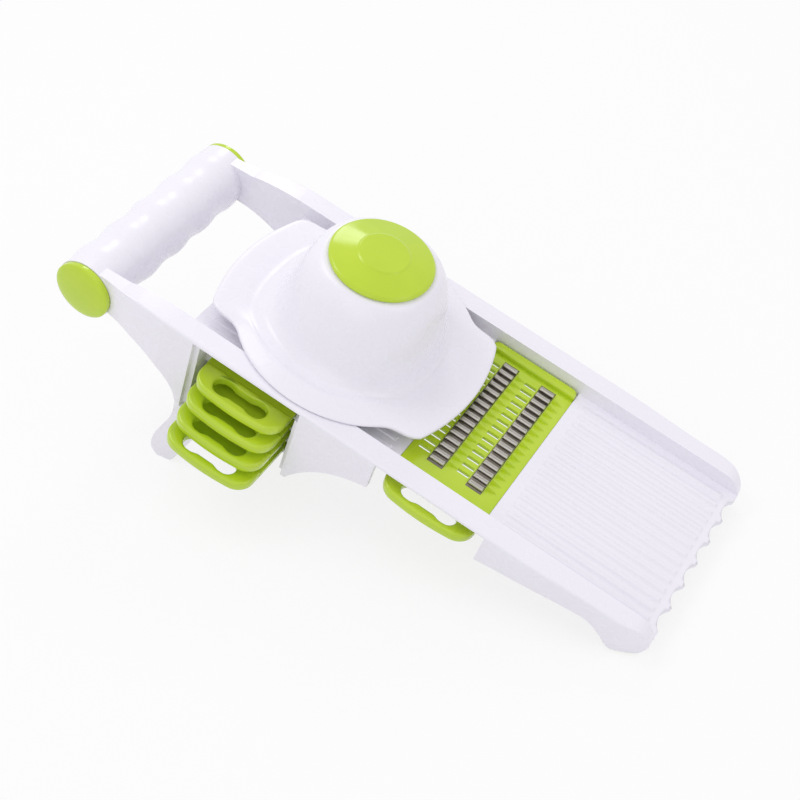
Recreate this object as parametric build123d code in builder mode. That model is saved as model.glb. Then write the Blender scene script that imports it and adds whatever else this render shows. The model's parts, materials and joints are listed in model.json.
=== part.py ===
from build123d import *
import math
import os

# Mandoline slicer: a white moulded deck on feet with a wavy grip, a sliding food holder with a
# push-down plunger, a julienne insert in the bay and four more blade inserts in a side rack.

# Stance: the deck leans forward, and its own zero point stands this high above the table
TILT = 17.0
DECK_HEIGHT = 70.0

# Running gaps and the moulding's walls
SLIDE_GAP = 0.3
TOUCH = 0.01
WALL = 3.0
INNER_WALL = 2.5
CROSS_WALL = 3.5

# Deck and rails, measured along the deck (u), across it (v) and square to it (w)
DECK_HALF = 50.0
DECK_T = 3.0
DECK_REAR = -50.0
DECK_FRONT = 205.4
RAIL_WIDTH = 11.5
RAIL_TOP = 8.0
RAIL_LIP = 1.8
RAIL_ROUND = 1.3
FIN_EDGE = 2.0
LUG_TIP = 2.5
LUG_END = 11.0
SKIRT_END = 6.2
SKIRT_DIP = 8.25
NOSE_U = 194.5
NOSE_R = 11.0
NOSE_W = RAIL_TOP - NOSE_R
SCALLOPS = 6
SCALLOP_PITCH = 15.3
SCALLOP_DEPTH = 3.0
RIBS = 15
RIB_PITCH = 6.15
RIB_WIDTH = 3.0
RIB_HEIGHT = 0.6
RIB_SLOPE = 45
RIB_END_GAP = 6.0

# Arms and grip
GRIP_U = -103.4
GRIP_W = -11.0
GRIP_R = 15.3
GRIP_WAVE = 1.0
GRIP_VALLEYS = 4
GRIP_PITCH = 22.2
GRIP_BORE_R = 11.5
TUBE_HALF = 56.5
ARM_FOOT = (-82.0, -17.0)
ARM_TOP_U = -84.0
ARM_TOP_DROP = 4.0
ARM_END_DROP = 9.0
ARM_BELLY = (-56.0, -24.6)
ARM_TAPER_U = -74.0
ARM_TAPER = 3.4
CAP_RIM_GAP = 0.3
CAP_FLANGE = 2.4
CAP_CROWN = 2.0
CAP_PLUG = 8.0
CAP_PLUG_GAP = 0.2

# Inserts: one outline for all five
INSERT_WIDTH = 48.0
INSERT_T = 3.0
INSERT_FAR = 49.5
INSERT_RIM = 66.6
HANDLE_ROOT = 50.5
HANDLE_BOW = 2.6
HANDLE_CORNER = 10.0
HANDLE_T = 5.0
HANDLE_RISE = 1.0
HANDLE_EDGE = 1.2
HOLE_LENGTH = 29.0
HOLE_WIDTH = 9.6
HOLE_WAIST = 7.4
HOLE_NECK = 5.0
HOLE_V = 58.1
LIP_WIDTH = 4.2
LIP_RISE = 2.4
LIP_EDGE = 0.9
GROOVE_WIDTH = 1.8
GROOVE_DEPTH = 1.0
INSERT_CORNER = 4.0
BAY_U = 90.7
BAY_LEDGE = 2.5

# Storage rack under the deck
RACK_U = -9.5
RACK_LEVELS = 4
RACK_TOP = -8.5
RACK_PITCH = 9.0
RACK_SIDE = 3.4
RACK_LEDGE = 2.0
LEDGE_T = 1.7
GUIDE_RISE = 2.2
FIRST_PULL = 3.9
PULL_STEP = 5.5

# Side windows, lug, leg and feet
WINDOW_TOP = RAIL_TOP - RAIL_LIP
BAY_WINDOW_REAR = 61.6
BAY_WINDOW_FRONT = 120.0
LEG_DEPTH = 9.0
LEG_WALL = 2.5
FOOT_U = -42.7
FOOT_W = -80.0
FOOT_R = 7.0
SILL_T = 2.2
SILL_FRONT = -22.0
SKIRT_DROP = 13.0
PAD_STAND = 1.6
PAD_SINK = 1.0
PAD_LENGTH = 12.0
PAD_WIDTH = 8.0
PAD_ROUND = 3.0
PAD_EDGE = 0.6

# Directions in which the moulding's curves start and end, along the deck and square to it
ARM_SLOPE = (-1.0, -0.3)
ARM_DIP = (1.0, -0.1)
FIN_LEAN = (0.2, -1.0)
LUG_RISE = (0.55, 1.0)
LUG_RUN = (1.0, 0.22)
SKIRT_RISE = (-1.0, 0.8)
SKIRT_RUN = (-1.0, -0.13)
LEG_LEAN = (0.1, -1.0)
CAP_SHOULDER = 0.9

# Food holder and plunger
HOLDER_U = 12.5
BRIM_T = 2.6
BRIM_R = 59.2
LOBE_REACH = 65.0
LOBE_U = 56.5
LOBE_HALF = 40.5
LOBE_ROUND = 9.0
NOTCH_ROUND = 7.0
BRIM_EDGE_ROUND = 1.5
SHELL_WALL = 2.2
SKIRT_LOW = 3.5
DOME_BASE_HALF = 47.5
DOME_BASE_ROUND = 39.0
DOME_FLARE_HALF = 42.2
DOME_FLARE_W = 14.5
DOME_WAIST_HALF = 38.5
DOME_WAIST_W = 21.0
DOME_MID_HALF = 35.5
DOME_MID_W = 36.0
DOME_SHOULDER_HALF = 32.0
DOME_SHOULDER_W = 47.5
DOME_TOP_HALF = 26.0
DOME_TOP_W = 55.0
DOME_WAIST_ROUND = 0.88
NEAR_CIRCLE = 0.92
COLLAR_WALL = 3.0
COLLAR_LENGTH = 9.0
STEM_R = 9.0
STEM_WALL = 2.0
KNOB_R = 25.0
KNOB_RIM = 2.2
KNOB_FLAT_R = 15.5
KNOB_RISE = 5.3
KNOB_STEP = 0.8
PLATE_R = 27.0
PLATE_T = 2.4
PLATE_W = 8.0
PRONG_R = 0.9
PRONG_LENGTH = 5.4
PRONG_RING_R = 19.0
PRONGS = 8
PRONG_SIDES = 6
PRONG_TAPER = 35.0

# Blades
STEEL_T = 0.6
COMB_LENGTH = 78.0
COMB_WIDTH = 8.3
COMB_SHIFT = 2.0
COMB_RIDGES = 16
COMB_PITCH = 4.85
COMB_RIDGE_W = 2.7
COMB_RISE = 1.7
COMB_ROWS = (-9.7, 11.5)
COMB_SEAT = 1.2
SLOT_LENGTH = 6.2
SLOT_WIDTH = 1.5
SPIKE_LENGTH = 4.3
SPIKE_BASE = 2.6
SPIKE_GAP = 0.3
SPIKE_RISE = 0.8
BLADE_LENGTH = 84.0
BLADE_WIDTH = 15.0
BLADE_T = 0.9
BLADE_BEVEL = 3.0
BLADE_GAP = 6.0
BLADE_RISE = 0.8
WAVES = 14
WAVE_RISE = 0.9
SHRED_RIDGES = 9
SHRED_PITCH = 8.4
SHRED_RIDGE_W = 5.0
SHRED_RISE = 2.3
GRATER_LENGTH = 82.0
GRATER_WIDTH = 34.0
GRATER_COLUMNS = 3
GRATER_ROWS = 7
GRATER_TOOTH_R = 2.4
GRATER_HOLE_R = 1.5
GRATER_RISE = 1.6
GRATER_SIDES = 6

# Derived places
RAIL_OUT = DECK_HALF + RAIL_WIDTH
OUTER_IN = RAIL_OUT - WALL
DECK_SEAT = DECK_HALF + INNER_WALL / 2
CAP_RIM = TUBE_HALF + CAP_FLANGE
CAP_R = GRIP_R - CAP_RIM_GAP
RACK_HALF = INSERT_WIDTH / 2 + RACK_SIDE
RACK_REAR = RACK_U - RACK_HALF
RACK_FRONT = RACK_U + RACK_HALF
RACK_LOW = RACK_TOP - (RACK_LEVELS - 1) * RACK_PITCH - INSERT_T - SLIDE_GAP - LEDGE_T
RACK_BOTTOM = RACK_LOW - SILL_T
LAST_PULL = FIRST_PULL + (RACK_LEVELS - 1) * PULL_STEP
BAY_HALF = INSERT_WIDTH / 2 + SLIDE_GAP
BRIM_W = RAIL_TOP + SLIDE_GAP

# The deck's plane, set so that the whole slicer stands centred over the world's zero point
LEAN = math.radians(TILT)
COS, SIN = math.cos(LEAN), math.sin(LEAN)
REACH_FRONT = max(NOSE_U * COS + NOSE_W * SIN + NOSE_R, DECK_FRONT * COS)
REACH_REAR = GRIP_U * COS + GRIP_W * SIN - GRIP_R - GRIP_WAVE
REACH_FAR = max(RAIL_OUT, CAP_RIM + CAP_CROWN)
REACH_NEAR = -(INSERT_RIM + LAST_PULL)
DECK = Plane(
    origin=(-(REACH_FRONT + REACH_REAR) / 2, -(REACH_FAR + REACH_NEAR) / 2, DECK_HEIGHT),
    x_dir=(COS, 0, -SIN),
    z_dir=(SIN, 0, COS),
)


def level(w, u=0.0, v=0.0):
    """Plane parallel to the deck at height w: x runs along the deck, y across it."""
    return Plane(DECK.from_local_coords((u, v, w)), x_dir=DECK.x_dir, z_dir=DECK.z_dir)


def side(v):
    """Upright plane along the deck at v, facing the near side: x is u, y is w."""
    return Plane(DECK.from_local_coords((0, v, 0)), x_dir=DECK.x_dir, z_dir=-DECK.y_dir)


def cross(u, v=0.0, w=0.0):
    """Upright plane across the deck at u, facing forward: x is v, y is w."""
    return Plane(DECK.from_local_coords((u, v, w)), x_dir=DECK.y_dir, z_dir=DECK.x_dir)


def local(shape):
    """Centre of a shape in the deck's own u, v, w."""
    return DECK.to_local_coords(shape.center())


def save(part, name):
    """Label one piece and write it."""
    part.label = name
    export_step(part, f"parts/{name}.step")


def bar(u, v, w, mode=Mode.ADD):
    """Block between two u, two v and two w limits, added to the piece in hand or taken from it."""
    with BuildSketch(level(w[0])) as block:
        with Locations(((u[0] + u[1]) / 2, (v[0] + v[1]) / 2)):
            Rectangle(u[1] - u[0], v[1] - v[0])
    extrude(block.sketch, amount=w[1] - w[0], mode=mode)


os.makedirs("parts", exist_ok=True)
MID = Plane(DECK.origin, x_dir=DECK.x_dir, z_dir=DECK.y_dir)
GROUND_SIZE = 2 * DECK_FRONT
UPWARD = Axis(DECK.origin, DECK.z_dir)
PAD_X = DECK.origin.X + NOSE_U * COS + NOSE_W * SIN

# Main body: one white moulding with rails, arms, lugs, legs, rack and deck
with BuildPart() as main_body:
    # Rail, arm and fin of the near side, as one block with a rounded outer top edge
    with BuildSketch(side(-DECK_HALF)):
        with BuildLine():
            grip_low = (GRIP_U, ARM_FOOT[1])
            fin_tip = (RACK_REAR - WALL - FIN_EDGE, RACK_LOW)
            arm_top = (ARM_TOP_U, RAIL_TOP - ARM_TOP_DROP)
            rail_end = (DECK_REAR, RAIL_TOP)
            Line(grip_low, ARM_FOOT)
            Spline(ARM_FOOT, ARM_BELLY, fin_tip, tangents=(ARM_DIP, FIN_LEAN))
            Polyline(
                fin_tip,
                (fin_tip[0], RACK_BOTTOM),
                (RACK_REAR, RACK_BOTTOM),
                (RACK_REAR, -DECK_T),
                (NOSE_U, -DECK_T),
                (NOSE_U, RAIL_TOP),
                rail_end,
            )
            Spline(rail_end, arm_top, tangents=((-1, 0), ARM_SLOPE))
            Polyline(arm_top, (GRIP_U, RAIL_TOP - ARM_END_DROP), grip_low)
        make_face()
        with Locations((NOSE_U, NOSE_W)):
            Circle(NOSE_R)
    extrude(amount=RAIL_WIDTH)
    outer_rim = [e for e in edges() if abs(local(e).Y + RAIL_OUT) < TOUCH and local(e).X > ARM_TOP_U]
    fillet([e for e in outer_rim if local(e).Z > 0 or local(e).X > NOSE_U], RAIL_ROUND)

    # The arm thins towards the grip, so that its cap lies flush
    with BuildSketch(level(RACK_BOTTOM)):
        with BuildLine():
            thin_end = (GRIP_U, ARM_TAPER - RAIL_OUT)
            Polyline((ARM_TAPER_U, -RAIL_OUT), (GRIP_U, -RAIL_OUT), thin_end, close=True)
        make_face()
    extrude(amount=RAIL_TOP - RACK_BOTTOM, mode=Mode.SUBTRACT)

    # The rail and the arm are hollow from below
    with BuildSketch(side(-DECK_HALF - INNER_WALL)):
        with BuildLine():
            Polyline(
                (ARM_TOP_U, RACK_BOTTOM),
                (ARM_TOP_U, RAIL_TOP - ARM_TOP_DROP - RAIL_LIP),
                (DECK_REAR, WINDOW_TOP),
                (RACK_REAR - CROSS_WALL, WINDOW_TOP),
                (RACK_REAR - CROSS_WALL, RACK_BOTTOM),
                close=True,
            )
        make_face()
        with Locations(((RACK_REAR + NOSE_U - NOSE_R) / 2, (WINDOW_TOP - DECK_T) / 2)):
            Rectangle(NOSE_U - NOSE_R - RACK_REAR, WINDOW_TOP + DECK_T)
    extrude(amount=RAIL_WIDTH - INNER_WALL - WALL, mode=Mode.SUBTRACT)

    # Side windows over the rack and the bay, open up to the rail's lip
    window_v = (-RAIL_OUT - WALL, -OUTER_IN)
    rack_window = (RACK_REAR - INNER_WALL, RACK_FRONT + INNER_WALL)
    bar(rack_window, window_v, (RACK_LOW, WINDOW_TOP), Mode.SUBTRACT)
    bar((BAY_WINDOW_REAR, BAY_WINDOW_FRONT), window_v, (RACK_LOW, WINDOW_TOP), Mode.SUBTRACT)

    # Outer wall: the lug beside the rack and the skirt that runs down to the front foot
    with BuildSketch(side(-OUTER_IN)):
        with BuildLine():
            lug_u = RACK_FRONT + INNER_WALL
            lug_tip = (lug_u + LUG_TIP, RACK_LOW)
            lug_end = (BAY_WINDOW_REAR, -LUG_END)
            Polyline(lug_end, (BAY_WINDOW_REAR, WINDOW_TOP), (lug_u, WINDOW_TOP), (lug_u, RACK_LOW), lug_tip)
            Spline(lug_tip, lug_end, tangents=(LUG_RISE, LUG_RUN))
        make_face()
        with BuildLine():
            skirt_end = (NOSE_U - 2 * NOSE_R, -SKIRT_END)
            nose_low = (NOSE_U - NOSE_R / 2, NOSE_W - SKIRT_DIP)
            Polyline(skirt_end, (BAY_WINDOW_FRONT, -SKIRT_DROP), (BAY_WINDOW_FRONT, WINDOW_TOP))
            Polyline((BAY_WINDOW_FRONT, WINDOW_TOP), (NOSE_U, WINDOW_TOP), (NOSE_U, NOSE_W), nose_low)
            Spline(nose_low, skirt_end, tangents=(SKIRT_RISE, SKIRT_RUN))
        make_face()
    extrude(amount=WALL)

    # Rear leg: a hollow-backed strut that swings back to a round foot
    for inset, depth, mode in ((0, LEG_DEPTH, Mode.ADD), (LEG_WALL, LEG_DEPTH - WALL, Mode.SUBTRACT)):
        with BuildSketch(side(-RAIL_OUT + LEG_DEPTH)):
            with BuildLine():
                leg_low = FOOT_R - inset
                leg_root = (fin_tip[0] + inset, RACK_BOTTOM)
                leg_back = (FOOT_U - leg_low, FOOT_W)
                leg_front = (FOOT_U + leg_low, FOOT_W)
                sill_low = (SILL_FRONT - inset, RACK_BOTTOM)
                Spline(leg_root, leg_back, tangents=(LEG_LEAN, (0, -1)))
                ThreePointArc(leg_back, (FOOT_U, FOOT_W - leg_low), leg_front)
                Line(leg_front, sill_low)
                if inset:
                    Line(sill_low, leg_root)
                else:
                    Polyline(sill_low, (SILL_FRONT, RACK_LOW), (leg_root[0], RACK_LOW), leg_root)
            make_face()
        extrude(amount=depth, mode=mode)

    mirror(about=MID)

    # Deck with its bay, and the scalloped front edge
    bar((DECK_REAR, DECK_FRONT), (-DECK_SEAT, DECK_SEAT), (-DECK_T, 0))
    with BuildSketch(level(-DECK_T)):
        scallop_r = (SCALLOP_PITCH**2 / 4 + SCALLOP_DEPTH**2) / (2 * SCALLOP_DEPTH)
        with Locations((DECK_FRONT + scallop_r - SCALLOP_DEPTH, 0)):
            with GridLocations(1, SCALLOP_PITCH, 1, SCALLOPS):
                Circle(scallop_r)
    extrude(amount=DECK_T, mode=Mode.SUBTRACT)
    bay_u = (BAY_U - BAY_HALF, BAY_U + BAY_HALF)
    bar(bay_u, (-OUTER_IN, DECK_HALF), (-DECK_T, LIP_RISE + SLIDE_GAP), Mode.SUBTRACT)

    # Low ribs that keep slices from sticking
    with BuildSketch(level(0)):
        for rib_rear, rib_front in ((DECK_REAR, BAY_U - BAY_HALF), (BAY_U + BAY_HALF, DECK_FRONT)):
            with Locations(((rib_rear + rib_front) / 2, 0)):
                with GridLocations(1, RIB_PITCH, 1, RIBS):
                    Rectangle(rib_front - rib_rear - 2 * RIB_END_GAP, RIB_WIDTH)
    extrude(amount=RIB_HEIGHT, taper=RIB_SLOPE)

    # Ledges that carry the insert in the bay
    for end in (-1, 1):
        ledge_u = sorted((BAY_U + end * (BAY_HALF + BAY_LEDGE), BAY_U + end * (BAY_HALF - BAY_LEDGE)))
        step_u = sorted((BAY_U + end * (BAY_HALF + BAY_LEDGE), BAY_U + end * BAY_HALF))
        ledge_top = -INSERT_T - SLIDE_GAP
        bar(ledge_u, (-DECK_HALF, DECK_HALF), (ledge_top - LEDGE_T, ledge_top))
        bar(step_u, (-DECK_HALF, DECK_HALF), (ledge_top, -DECK_T))

    # Rack: two walls across the body, a back wall and a pair of stepped ledges for every insert
    for end in (-1, 1):
        wall_u = sorted((RACK_U + end * RACK_HALF, RACK_U + end * (RACK_HALF + CROSS_WALL)))
        bar(wall_u, (-OUTER_IN, OUTER_IN), (RACK_LOW, -DECK_T))
        for n in range(RACK_LEVELS):
            seat = RACK_TOP - n * RACK_PITCH - INSERT_T - SLIDE_GAP
            edge = INSERT_WIDTH / 2
            shelf_u = sorted((RACK_U + end * RACK_HALF, RACK_U + end * (edge - RACK_LEDGE)))
            guide_u = sorted((RACK_U + end * RACK_HALF, RACK_U + end * (edge + SLIDE_GAP)))
            bar(shelf_u, (-DECK_HALF, DECK_HALF), (seat - LEDGE_T, seat))
            bar(guide_u, (-DECK_HALF, DECK_HALF), (seat, seat + GUIDE_RISE))
    bar((RACK_REAR, RACK_FRONT), (DECK_HALF, DECK_HALF + INNER_WALL), (RACK_LOW, -DECK_T))
    bar((RACK_REAR - CROSS_WALL, SILL_FRONT), (-OUTER_IN, OUTER_IN), (RACK_BOTTOM, RACK_LOW))

    # Seat of the grip in both arms, flat foot soles and the pockets of the pads
    with BuildSketch(side(-RAIL_OUT)):
        with Locations((GRIP_U, GRIP_W)):
            Circle(GRIP_R)
    extrude(amount=-2 * RAIL_OUT, mode=Mode.SUBTRACT)
    with BuildSketch(Plane.XY):
        Rectangle(GROUND_SIZE, GROUND_SIZE)
    extrude(amount=-GROUND_SIZE, mode=Mode.SUBTRACT)
    with BuildSketch(Plane.XY.move(Location((PAD_X, 0, 0)))):
        Rectangle(2 * NOSE_R, GROUND_SIZE)
    extrude(amount=PAD_STAND, mode=Mode.SUBTRACT)
    with BuildSketch(Plane.XY.offset(PAD_STAND)):
        with Locations((PAD_X, DECK.origin.Y)):
            with GridLocations(1, 2 * DECK_HALF + RAIL_WIDTH, 1, 2):
                RectangleRounded(PAD_LENGTH, PAD_WIDTH, PAD_ROUND)
    extrude(amount=PAD_SINK, mode=Mode.SUBTRACT)
save(main_body.part, "main_body")

# Grip: a hollow tube with a wave for each finger, plain where the arms hold it
GRIP_AXIS = Axis(DECK.from_local_coords((GRIP_U, 0, GRIP_W)), DECK.y_dir)
with BuildPart() as handle_grip:
    with BuildSketch(cross(GRIP_U, 0, GRIP_W)):
        with BuildLine():
            bump = GRIP_PITCH / 2
            wave_end = (2 * GRIP_VALLEYS + 1) * bump / 2
            for n in range(2 * GRIP_VALLEYS + 1):
                start = n * bump - wave_end
                middle = (start + bump / 2, GRIP_R - GRIP_WAVE if n % 2 else GRIP_R + GRIP_WAVE)
                ThreePointArc((start, GRIP_R), middle, (start + bump, GRIP_R))
            for end in (-1, 1):
                tube_end = end * TUBE_HALF
                Polyline((end * wave_end, GRIP_R), (tube_end, GRIP_R), (tube_end, GRIP_BORE_R))
            Line((-TUBE_HALF, GRIP_BORE_R), (TUBE_HALF, GRIP_BORE_R))
        make_face()
    revolve(axis=GRIP_AXIS)
save(handle_grip.part, "handle_grip")

# Lime caps that plug the ends of the grip
for cap_name, hand in (("near_handle_cap", -1), ("far_handle_cap", 1)):
    with BuildPart() as handle_cap:
        with BuildSketch(cross(GRIP_U, 0, GRIP_W)):
            with BuildLine():
                plug_r = GRIP_BORE_R - CAP_PLUG_GAP
                rim = (hand * CAP_RIM, CAP_R)
                crown = (hand * (CAP_RIM + CAP_CROWN), 0)
                seat = hand * TUBE_HALF
                plug_end = hand * (TUBE_HALF - CAP_PLUG)
                Polyline(rim, (seat, CAP_R), (seat, plug_r), (plug_end, plug_r), (plug_end, 0), crown)
                Spline(crown, rim, tangents=((0, 1), (-hand, CAP_SHOULDER)))
            make_face()
        revolve(axis=GRIP_AXIS)
    save(handle_cap.part, cap_name)

# Lime pads set into the soles of the front feet
for pad_name, hand in (("near_front_pad", -1), ("far_front_pad", 1)):
    with BuildPart() as front_pad:
        with BuildSketch(Plane.XY):
            with Locations((PAD_X, DECK.origin.Y + hand * (DECK_HALF + RAIL_WIDTH / 2))):
                RectangleRounded(PAD_LENGTH, PAD_WIDTH, PAD_ROUND)
        extrude(amount=PAD_STAND + PAD_SINK)
        chamfer(front_pad.edges().group_by(Axis.Z)[0], PAD_EDGE)
    save(front_pad.part, pad_name)


def hat(w):
    """Plane across the food holder at height w, centred on its dome."""
    return level(w, HOLDER_U)


# Food holder: a rounded-square dome on a lobed brim that rests on both rails
DOME = (
    (BRIM_W + BRIM_T, DOME_BASE_HALF, DOME_BASE_ROUND),
    (DOME_FLARE_W, DOME_FLARE_HALF, DOME_FLARE_HALF * DOME_WAIST_ROUND),
    (DOME_WAIST_W, DOME_WAIST_HALF, DOME_WAIST_HALF * DOME_WAIST_ROUND),
    (DOME_MID_W, DOME_MID_HALF, DOME_MID_HALF * NEAR_CIRCLE),
    (DOME_SHOULDER_W, DOME_SHOULDER_HALF, DOME_SHOULDER_HALF * NEAR_CIRCLE),
    (DOME_TOP_W, DOME_TOP_HALF, DOME_TOP_HALF * NEAR_CIRCLE),
)
with BuildPart() as holder_shell:
    with BuildSketch(hat(BRIM_W)) as brim:
        with BuildLine():
            for end in (-1, 1):
                corner = (end * LOBE_U, LOBE_HALF)
                ThreePointArc(corner, (end * LOBE_REACH, 0), (end * LOBE_U, -LOBE_HALF))
                Line((-LOBE_U, end * LOBE_HALF), (LOBE_U, end * LOBE_HALF))
        make_face()
        fillet(brim.vertices(), LOBE_ROUND)
        Circle(BRIM_R)
        notches = [p for p in brim.vertices() if abs(Vector(p.X, p.Y).length - BRIM_R) < TOUCH]
        fillet([p for p in notches if abs(abs(p.Y) - LOBE_HALF) < TOUCH], NOTCH_ROUND)
    extrude(amount=BRIM_T)
    fillet(holder_shell.faces().sort_by(UPWARD)[-1].edges(), BRIM_EDGE_ROUND)
    with BuildSketch(hat(SKIRT_LOW)):
        RectangleRounded(2 * DOME_BASE_HALF, 2 * DOME_BASE_HALF, DOME_BASE_ROUND)
    extrude(amount=BRIM_W + BRIM_T - SKIRT_LOW)
    for w, half, corner in DOME:
        with BuildSketch(hat(w)):
            RectangleRounded(2 * half, 2 * half, corner)
    loft()
    with BuildSketch(hat(SKIRT_LOW)):
        inner_half = DOME_BASE_HALF - SHELL_WALL
        RectangleRounded(2 * inner_half, 2 * inner_half, DOME_BASE_ROUND - SHELL_WALL)
    extrude(amount=BRIM_W + BRIM_T - SKIRT_LOW, mode=Mode.SUBTRACT)
    for w, half, corner in DOME:
        with BuildSketch(hat(min(w, DOME_TOP_W - SHELL_WALL))):
            RectangleRounded(2 * (half - SHELL_WALL), 2 * (half - SHELL_WALL), corner - SHELL_WALL)
    loft(mode=Mode.SUBTRACT)
    collar_low = DOME_TOP_W - SHELL_WALL - COLLAR_LENGTH
    with BuildSketch(hat(collar_low)):
        Circle(STEM_R + SLIDE_GAP + COLLAR_WALL)
    extrude(amount=COLLAR_LENGTH + SHELL_WALL / 2)
    with BuildSketch(hat(collar_low)):
        Circle(STEM_R + SLIDE_GAP)
    extrude(amount=COLLAR_LENGTH + 2 * SHELL_WALL, mode=Mode.SUBTRACT)
save(holder_shell.part, "holder_shell")

# Plunger: knob, stem, pressing plate and steel prongs, which move as one
KNOB_W = DOME_TOP_W + SLIDE_GAP
HAT_AXIS = Axis(DECK.from_local_coords((HOLDER_U, 0, 0)), DECK.z_dir)
with BuildPart() as plunger_knob:
    with BuildSketch(cross(HOLDER_U)):
        with BuildLine():
            Polyline((0, KNOB_W + KNOB_RISE), (0, KNOB_W), (KNOB_R, KNOB_W), (KNOB_R, KNOB_W + KNOB_RIM))
            Polyline(
                (KNOB_R, KNOB_W + KNOB_RIM),
                (KNOB_R - KNOB_STEP, KNOB_W + KNOB_RIM),
                (KNOB_FLAT_R, KNOB_W + KNOB_RISE),
                (0, KNOB_W + KNOB_RISE),
            )
        make_face()
    revolve(axis=HAT_AXIS)
save(plunger_knob.part, "plunger_knob")

PLATE_TOP = PLATE_W + PLATE_T
with BuildPart() as plunger_stem:
    with BuildSketch(hat(PLATE_TOP)):
        Circle(STEM_R)
        Circle(STEM_R - STEM_WALL, mode=Mode.SUBTRACT)
    extrude(amount=KNOB_W - PLATE_TOP)
save(plunger_stem.part, "plunger_stem")

with BuildPart() as plunger_plate:
    with BuildSketch(hat(PLATE_W)):
        Circle(PLATE_R)
        with PolarLocations(PRONG_RING_R, PRONGS):
            RegularPolygon(PRONG_R, PRONG_SIDES, mode=Mode.SUBTRACT)
    extrude(amount=PLATE_T)
save(plunger_plate.part, "plunger_plate")

with BuildPart() as plunger_prongs:
    with BuildSketch(hat(PLATE_TOP)):
        with PolarLocations(PRONG_RING_R, PRONGS):
            RegularPolygon(PRONG_R, PRONG_SIDES)
    extrude(amount=-PLATE_T - PRONG_LENGTH + PRONG_R)
    for tip in plunger_prongs.faces().sort_by(UPWARD)[:PRONGS]:
        extrude(tip, amount=PRONG_R, taper=PRONG_TAPER)
save(plunger_prongs.part, "plunger_prongs")


def insert_base(u, top, pull=0.0):
    """Plane at the top of an insert's plate: x along the deck, y across it to the far side."""
    return level(top, u, -pull)


def insert_frame(base):
    """The lime frame that all inserts share: a looped handle, a flat plate and a far lip."""
    half = INSERT_WIDTH / 2
    bend = HANDLE_BOW - INSERT_RIM
    with BuildPart() as frame:
        with BuildSketch(base.offset(HANDLE_RISE - HANDLE_T)) as loop:
            with BuildLine():
                Polyline((-half, bend), (-half, -HANDLE_ROOT), (half, -HANDLE_ROOT), (half, bend))
                ThreePointArc((half, bend), (0, -INSERT_RIM), (-half, bend))
            make_face()
            fillet(loop.vertices().group_by(Axis.Y)[0], HANDLE_CORNER)
        extrude(amount=HANDLE_T)
        with BuildSketch(base.offset(HANDLE_RISE - HANDLE_T)) as finger_hole:
            with Locations((0, -HOLE_V)):
                Rectangle(HOLE_LENGTH - HOLE_WIDTH, HOLE_WAIST)
                with GridLocations(HOLE_LENGTH - HOLE_WIDTH, 1, 2, 1):
                    Circle(HOLE_WIDTH / 2)
            fillet([p for p in finger_hole.vertices() if abs(p.Y + HOLE_V) > TOUCH], HOLE_NECK)
        extrude(amount=HANDLE_T, mode=Mode.SUBTRACT)
        brows = frame.faces().filter_by(UPWARD).edges()
        chamfer([e for e in brows if base.to_local_coords(e.center()).Y < -HANDLE_ROOT - TOUCH], HANDLE_EDGE)
        with BuildSketch(base.offset(-INSERT_T)):
            with Locations((0, (INSERT_FAR - HANDLE_ROOT) / 2)):
                Rectangle(INSERT_WIDTH, INSERT_FAR + HANDLE_ROOT)
        extrude(amount=INSERT_T)
        with BuildSketch(base):
            with Locations((0, INSERT_FAR - LIP_WIDTH / 2)):
                Rectangle(INSERT_WIDTH, LIP_WIDTH)
        extrude(amount=LIP_RISE)
        corners = edges().filter_by(UPWARD)
        fillet([e for e in corners if base.to_local_coords(e.center()).Y > INSERT_FAR - TOUCH], INSERT_CORNER)
        lip_top = frame.faces().sort_by(UPWARD)[-1].edges().filter_by(Axis(base.origin, base.x_dir))
        chamfer(lip_top.sort_by(Axis(base.origin, base.y_dir))[0], LIP_EDGE)
        with BuildSketch(base):
            with Locations((0, INSERT_FAR - LIP_WIDTH - GROOVE_WIDTH / 2)):
                Rectangle(INSERT_WIDTH, GROOVE_WIDTH)
        extrude(amount=-GROOVE_DEPTH, mode=Mode.SUBTRACT)
    return frame.part


def steel_seat(base, frame, row, size):
    """Seat a steel strip flush in a frame, with an opening through the plate under it."""
    length, width = size
    with BuildPart() as seated:
        add(frame)
        with BuildSketch(base):
            with Locations((row, COMB_SHIFT)):
                Rectangle(width, length)
        extrude(amount=-STEEL_T, mode=Mode.SUBTRACT)
        with BuildSketch(base):
            with Locations((row, COMB_SHIFT)):
                Rectangle(width - 2 * COMB_SEAT, length - 2 * COMB_SEAT)
        extrude(amount=-INSERT_T, mode=Mode.SUBTRACT)
    return seated.part


def comb(base, row, size, ridges, ridge_size):
    """Steel strip pressed into a row of narrow bridges that run along the deck."""
    length, width = size
    pitch, ridge, rise = ridge_size
    face = Plane(base.from_local_coords((row - width / 2, COMB_SHIFT, 0)), x_dir=base.y_dir, z_dir=base.x_dir)
    with BuildPart() as strip:
        with BuildSketch(face):
            with Locations((0, -STEEL_T / 2)):
                Rectangle(length, STEEL_T)
            with GridLocations(pitch, 1, ridges, 1):
                with Locations((0, rise / 2 - STEEL_T / 2)):
                    Rectangle(ridge, rise + STEEL_T)
            with GridLocations(pitch, 1, ridges, 1):
                with Locations((0, rise / 2 - STEEL_T)):
                    Rectangle(ridge - 2 * STEEL_T, rise, mode=Mode.SUBTRACT)
        extrude(amount=width)
    return strip.part


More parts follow.
